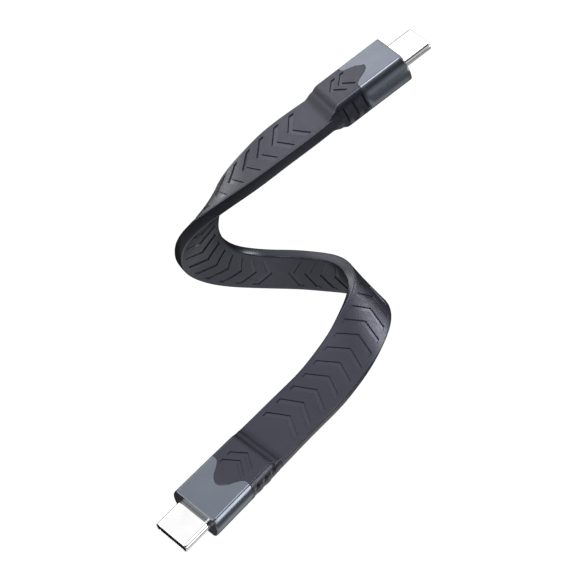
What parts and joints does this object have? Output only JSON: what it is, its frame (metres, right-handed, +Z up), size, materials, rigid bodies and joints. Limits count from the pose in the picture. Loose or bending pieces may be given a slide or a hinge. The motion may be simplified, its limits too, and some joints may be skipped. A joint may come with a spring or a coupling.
{
  "type": "charging cable",
  "caption": "Short flat charging cable: a rubber ribbon around a flexible circuit, turned once on itself, with an alloy USB-C plug and a rubber boot at each end.",
  "frame": {"origin": "centre of the whole cable's box on the surface it rests on", "axes": "+X along the longest extent, from plug a towards plug b; +Z up from the resting surface; +Y away from the viewer who sees plug a at the left"},
  "size_m": [0.0889, 0.0718, 0.0575],
  "materials": {
    "ribbon_rubber": "satin moulded silicone rubber with recessed chevrons",
    "boot_rubber": "satin moulded rubber with grip grooves",
    "alloy": "fine blasted and anodised blue grey",
    "nickel": "polished nickel plate",
    "gold": "gold flashed contacts",
    "black_plastic": "moulded black liquid crystal polymer",
    "latch_steel": "thin stainless spring steel",
    "flex_film": "amber polyimide film",
    "board": "green solder mask",
    "chip": "matt black epoxy",
    "solder_parts": "ceramic chip parts",
    "shield_tin": "tinned sheet steel",
    "inner_mould": "low pressure moulded white plastic"
  },
  "bodies": {
    "root": {"ribbon_jacket": "ribbon_rubber", "flex_circuit": "flex_film", "boot_a": "boot_rubber", "alloy_shell_a": "alloy", "inner_mould_a": "inner_mould", "shield_can_a": "shield_tin", "paddle_card_a": "board", "emarker_chip_a": "chip", "passives_a": "solder_parts", "usb_shell_a": "nickel", "insulator_a": "black_plastic", "contacts_upper_a": "gold", "contacts_lower_a": "gold", "latch_plate_a": "latch_steel", "emi_springs_a": "latch_steel", "boot_b": "boot_rubber", "alloy_shell_b": "alloy", "inner_mould_b": "inner_mould", "shield_can_b": "shield_tin", "paddle_card_b": "board", "passives_b": "solder_parts", "usb_shell_b": "nickel", "insulator_b": "black_plastic", "contacts_upper_b": "gold", "contacts_lower_b": "gold", "latch_plate_b": "latch_steel", "emi_springs_b": "latch_steel"}
  },
  "joints": []
}
